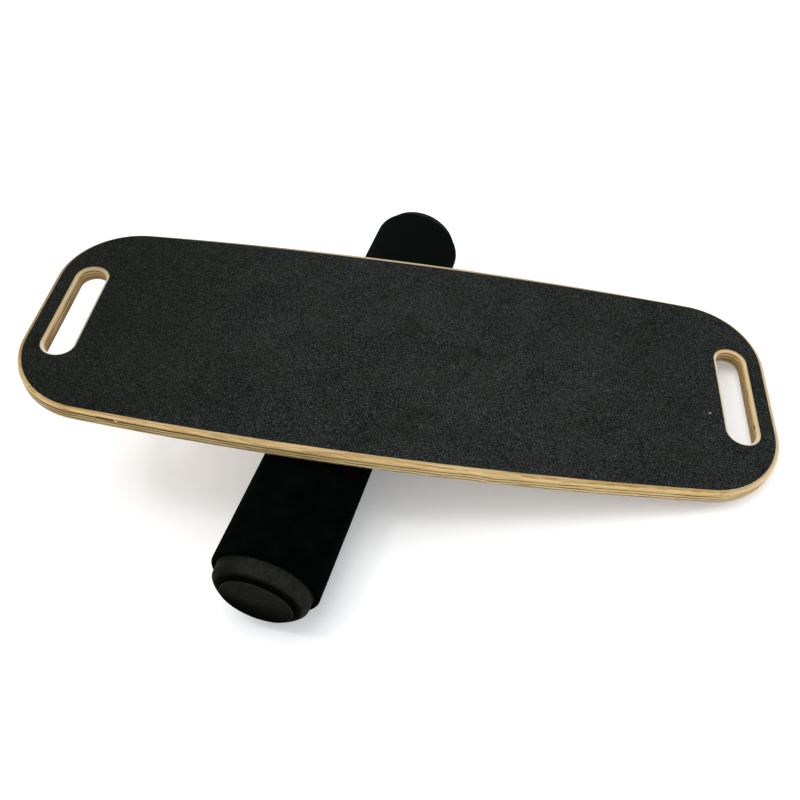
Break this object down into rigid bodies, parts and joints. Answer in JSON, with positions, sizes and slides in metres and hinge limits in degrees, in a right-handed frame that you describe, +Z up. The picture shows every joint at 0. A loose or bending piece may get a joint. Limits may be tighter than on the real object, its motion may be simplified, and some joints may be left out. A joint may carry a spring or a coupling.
{
  "type": "rola bola",
  "caption": "Rola bola balance trainer: a long plywood deck with a grit top and hand slots, lying tilted on a foam-covered roller with rubber end caps.",
  "frame": {"origin": "on the floor, below the middle of the whole object", "axes": "+X to the end of the deck that rests on the floor, square to the roller; +Y along the roller's axis, to its far end; +Z up"},
  "size_m": [0.7854, 0.5632, 0.2116],
  "materials": {
    "birch_plywood": "clear-sealed birch plywood with bare, lightly sanded edges",
    "grit": "coarse matt grit bonded to a black sheet",
    "stop_hardwood": "sanded hardwood",
    "screw_steel": "zinc-plated steel",
    "foam": "matt black closed-cell foam",
    "tube_plastic": "plain extruded plastic",
    "cap_rubber": "satin moulded rubber"
  },
  "bodies": {
    "roller": {"foam_sleeve": "foam", "roller_tube": "tube_plastic", "end_cap_near": "cap_rubber", "end_cap_far": "cap_rubber"},
    "board": {"deck": "birch_plywood", "grip_sheet": "grit", "stop_left": "stop_hardwood", "stop_left_screw_1": "screw_steel", "stop_left_screw_2": "screw_steel", "stop_left_screw_3": "screw_steel", "stop_right": "stop_hardwood", "stop_right_screw_1": "screw_steel", "stop_right_screw_2": "screw_steel", "stop_right_screw_3": "screw_steel"}
  },
  "joints": [
    {"name": "board_tilt", "type": "hinge", "parent": "roller", "child": "board", "pos_m": [-0.07113, 0, 0.05593], "axis": [0, -1, 0], "range_deg": [0, 32.5]}
  ]
}
